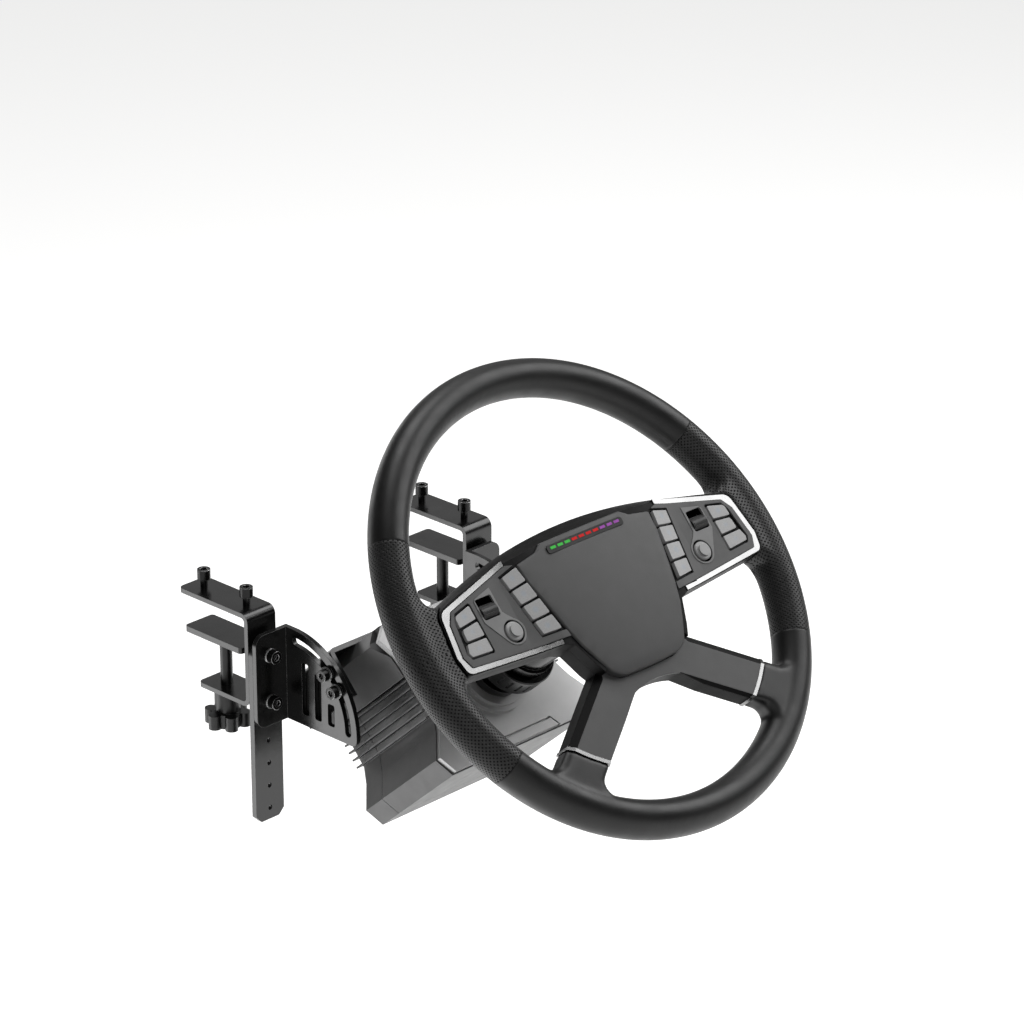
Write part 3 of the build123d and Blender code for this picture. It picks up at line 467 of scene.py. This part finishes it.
def wedge(ring, start, end, tuck=0.35, skin_depth=10.0):
    """The ring between two angles, closed at both cuts, with the leather tucked in at each seam.

    Only points farther than skin_depth from the middle of the tube are outer skin and are tucked in.
    """
    form = bmesh.new()
    form.from_mesh(ring)
    for angle, keep in ((start, 1), (end, -1)):
        normal = (UP * math.cos(angle) - Vector((1, 0, 0)) * math.sin(angle)) * keep
        everything = form.verts[:] + form.edges[:] + form.faces[:]
        cut = bmesh.ops.bisect_plane(form, geom=everything, plane_co=WHEEL_CENTRE, plane_no=normal,
                                     clear_inner=True)
        edges = [item for item in cut["geom_cut"] if isinstance(item, bmesh.types.BMEdge)]
        for vert in {vert for edge in edges for vert in edge.verts}:
            inward = tube_centre(vert.co) - vert.co
            if inward.length > skin_depth * MM:
                vert.co += inward.normalized() * (tuck * MM)
        bmesh.ops.triangle_fill(form, edges=edges, use_beauty=True)
    return form


def leather_piece(name, forms, material):
    """Some of the ring's wedges as one smooth-shaded piece that turns with the wheel."""
    mesh = bpy.data.meshes.new(name)
    whole = bmesh.new()
    for form in forms:
        part = bpy.data.meshes.new("part")
        form.to_mesh(part)
        form.free()
        whole.from_mesh(part)
    whole.to_mesh(mesh)
    whole.free()
    for polygon in mesh.polygons:
        polygon.use_smooth = True
    piece = bpy.data.objects.new(name, mesh)
    bpy.context.scene.collection.objects.link(piece)
    dress(piece, materials[material])
    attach(piece, "wheel")
    return piece


ring = leather_ring()
half_turn = math.pi
upper = wedge(ring, SEAM_ANGLE, half_turn - SEAM_ANGLE)
lower = wedge(ring, half_turn + SEAM_ANGLE, 2 * half_turn - SEAM_ANGLE)
right = wedge(ring, -SEAM_ANGLE, SEAM_ANGLE)
left = wedge(ring, half_turn - SEAM_ANGLE, half_turn + SEAM_ANGLE)
top = leather_piece("leather_top", [upper], "leather_smooth")
bottom = leather_piece("leather_bottom", [lower], "leather_smooth")
side_grips = leather_piece("leather_sides", [right, left], "leather_perforated")
for piece, node in zip((top, bottom, side_grips), GRIPS):
    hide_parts(node)


# ---------- floor, lights, camera ----------

def stage_sheet(name, width, height, matrix, material):
    """Flat rectangle that belongs to the studio, not to the object."""
    mesh = bpy.data.meshes.new(name)
    x, y = width / 2, height / 2
    mesh.from_pydata([(-x, -y, 0), (x, -y, 0), (x, y, 0), (-x, y, 0)], [], [(0, 1, 2, 3)])
    obj = bpy.data.objects.new(name, mesh)
    obj.matrix_world = matrix
    bpy.context.scene.collection.objects.link(obj)
    dress(obj, material)
    return obj


def floor():
    """Pale studio floor, kept evenly bright, that neither lights nor tints the object."""
    m = Maker("floor_paint")
    m.set(Roughness=0.9, Base_Color=(0.9, 0.9, 0.895, 1.0), Specular_IOR_Level=0.1)
    m.set(Emission_Color=(1, 1, 0.995, 1.0), Emission_Strength=0.68)
    place = Matrix.Translation((0, 0, FLOOR_HEIGHT))
    sheet = stage_sheet("floor", FLOOR_SIZE, FLOOR_SIZE, place, m.mat)
    sheet.visible_diffuse = False


def card(name, origin, direction, distance, width, height, level):
    """Board seen only in reflections, square to a direction from a point."""
    m = Maker(name)
    m.set(Base_Color=(0, 0, 0, 1), Emission_Color=(1, 1, 1, 1), Emission_Strength=level)
    way = Vector(direction).normalized()
    place = Matrix.Translation(Vector(origin) + way * distance)
    turn = way.to_track_quat("Z", "Y").to_matrix().to_4x4()
    sheet = stage_sheet(name, width, height, place @ turn, m.mat)
    sheet.visible_camera = False
    sheet.visible_diffuse = False
    sheet.visible_shadow = False
    sheet.visible_transmission = False


def soft_light(name, direction, distance, power, width, height):
    """Area light at a distance from the wheel in a given direction, pointing back at it."""
    data = bpy.data.lights.new(name, "AREA")
    data.shape = "RECTANGLE"
    data.size, data.size_y = width, height
    data.energy = power
    obj = bpy.data.objects.new(name, data)
    way = Vector(direction).normalized()
    obj.location = WHEEL_CENTRE + way * distance
    obj.rotation_euler = way.to_track_quat("Z", "Y").to_euler()
    bpy.context.scene.collection.objects.link(obj)


def camera():
    """Camera solved from the photograph: the rim's ellipse and the brackets' straight edges."""
    data = bpy.data.cameras.new("camera")
    data.lens = LENS
    data.sensor_width = SENSOR
    data.clip_end = 2 * FLOOR_SIZE
    obj = bpy.data.objects.new("camera", data)
    obj.location = CAMERA_PLACE
    obj.rotation_euler = (CAMERA_AIM - CAMERA_PLACE).to_track_quat("-Z", "Y").to_euler()
    bpy.context.scene.collection.objects.link(obj)
    bpy.context.scene.camera = obj


def world():
    """Even, weak white light from everywhere."""
    studio = bpy.data.worlds.new("studio")
    studio.use_nodes = True
    background = studio.node_tree.nodes["Background"]
    background.inputs["Color"].default_value = (1, 1, 1, 1)
    background.inputs["Strength"].default_value = WORLD_LEVEL
    bpy.context.scene.world = studio
    bpy.context.scene.view_settings.view_transform = "Standard"


LEFT_CLAMP = (-0.13, -0.03, -0.09)
BASE_SIDE = (-0.05, -0.12, -0.13)

floor()
# Lights: direction, distance, power, width, height.
soft_light("key", (0.76, -0.22, 0.66), 2.5, 46, 1.8, 2.2)
soft_light("top", (0.20, 0.45, 1.0), 2.6, 26, 1.4, 1.4)
soft_light("fill", (-0.7, -1.0, 0.6), 3.0, 14, 2.4, 2.4)
# Cards: point they serve, direction from it, distance, width, height, level.
card("left_card", LEFT_CLAMP, (-0.67, 0.70, -0.42), 0.9, 0.5, 0.5, 3.0)
card("low_card", BASE_SIDE, (-0.52, 0.29, -0.87), 0.45, 0.5, 0.5, 2.6)
card("back_card", WHEEL_CENTRE, (0.17, 1.0, 0.0), 2.2, 1.4, 0.8, 1.6)
card("top_card", WHEEL_CENTRE, (0.67, 0.70, 0.42), 2.2, 1.4, 1.0, 0.4)
camera()
world()
